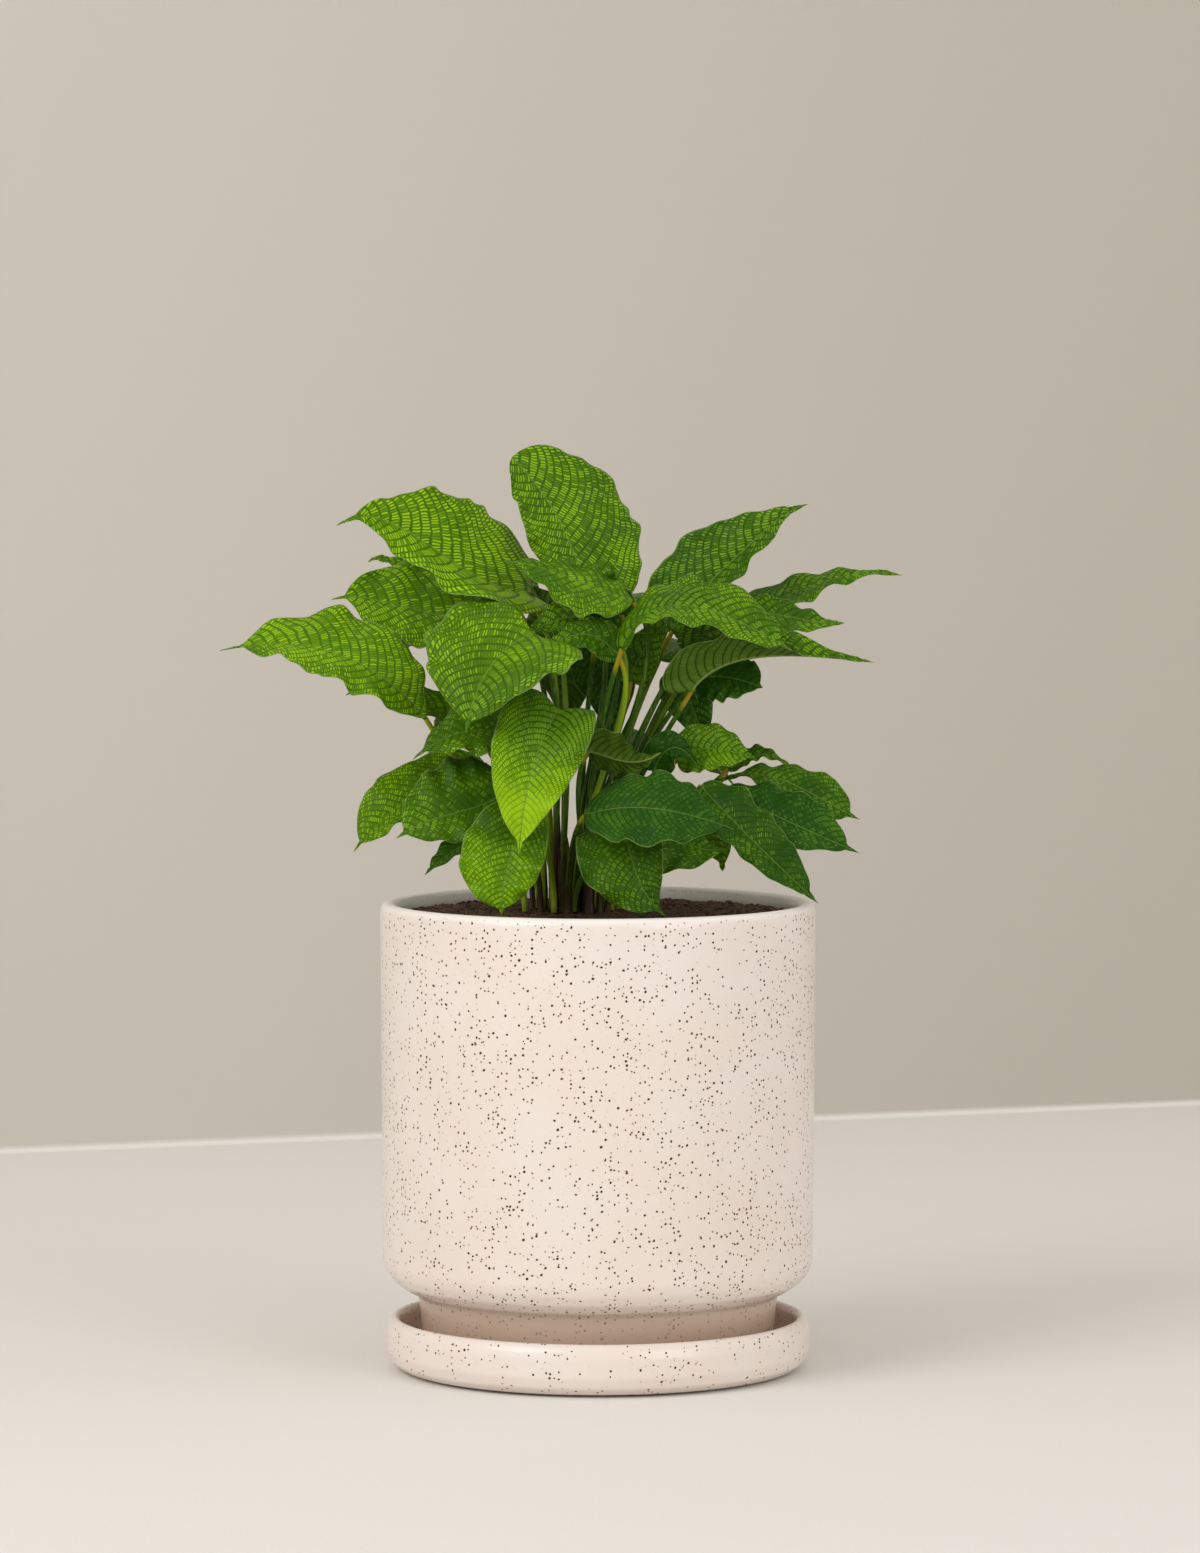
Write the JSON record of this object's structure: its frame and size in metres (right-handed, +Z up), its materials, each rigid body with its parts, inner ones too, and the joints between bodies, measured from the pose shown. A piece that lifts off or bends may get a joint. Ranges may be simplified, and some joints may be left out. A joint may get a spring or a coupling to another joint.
{
  "type": "potted calathea",
  "caption": "Bushy mosaic-patterned calathea, each leaf with its own stalk, rooted in soil in a speckled glazed cylinder pot that stands on a matching saucer.",
  "frame": {"origin": "centre of the flat underside of the saucer, on the pot's axis", "axes": "+Z up along the pot's axis, front of the plant towards -Y, +X to the right seen from the front"},
  "size_m": [0.3126, 0.238, 0.4239],
  "materials": {
    "glaze": "satin blush glaze with brown iron speckles",
    "soil": "dry dark potting soil",
    "leaf": "satin leaf with a fine yellow-green mosaic between the veins",
    "old_stem": "dry fibrous brown"
  },
  "bodies": {
    "root": {"saucer": "glaze", "pot": "glaze", "soil": "soil", "leaf_top_01": "leaf", "leaf_top_02": "leaf", "leaf_top_03": "leaf", "leaf_top_04": "leaf", "leaf_top_05": "leaf", "leaf_top_06": "leaf", "leaf_left_01": "leaf", "leaf_left_02": "leaf", "leaf_left_03": "leaf", "leaf_left_04": "leaf", "leaf_left_05": "leaf", "leaf_left_06": "leaf", "leaf_left_07": "leaf", "leaf_front_01": "leaf", "leaf_front_02": "leaf", "leaf_front_03": "leaf", "leaf_front_04": "leaf", "leaf_front_05": "leaf", "leaf_front_06": "leaf", "leaf_front_07": "leaf", "leaf_mid_01": "leaf", "leaf_mid_02": "leaf", "leaf_mid_03": "leaf", "leaf_mid_04": "leaf", "leaf_mid_05": "leaf", "leaf_mid_06": "leaf", "leaf_mid_07": "leaf", "leaf_mid_09": "leaf", "leaf_mid_08": "leaf", "leaf_right_01": "leaf", "leaf_right_02": "leaf", "leaf_right_03": "leaf", "leaf_right_04": "leaf", "leaf_right_05": "leaf", "leaf_right_06": "leaf", "leaf_right_07": "leaf", "leaf_right_08": "leaf", "leaf_right_09": "leaf", "leaf_right_10": "leaf", "leaf_right_11": "leaf", "leaf_back_01": "leaf", "leaf_back_02": "leaf", "leaf_back_03": "leaf", "leaf_back_04": "leaf", "leaf_back_05": "leaf", "leaf_back_06": "leaf", "leaf_back_07": "leaf", "leaf_back_08": "leaf", "leaf_back_09": "leaf", "leaf_back_10": "leaf", "old_stem_01": "old_stem", "old_stem_02": "old_stem", "old_stem_03": "old_stem", "old_stem_04": "old_stem"}
  },
  "joints": []
}
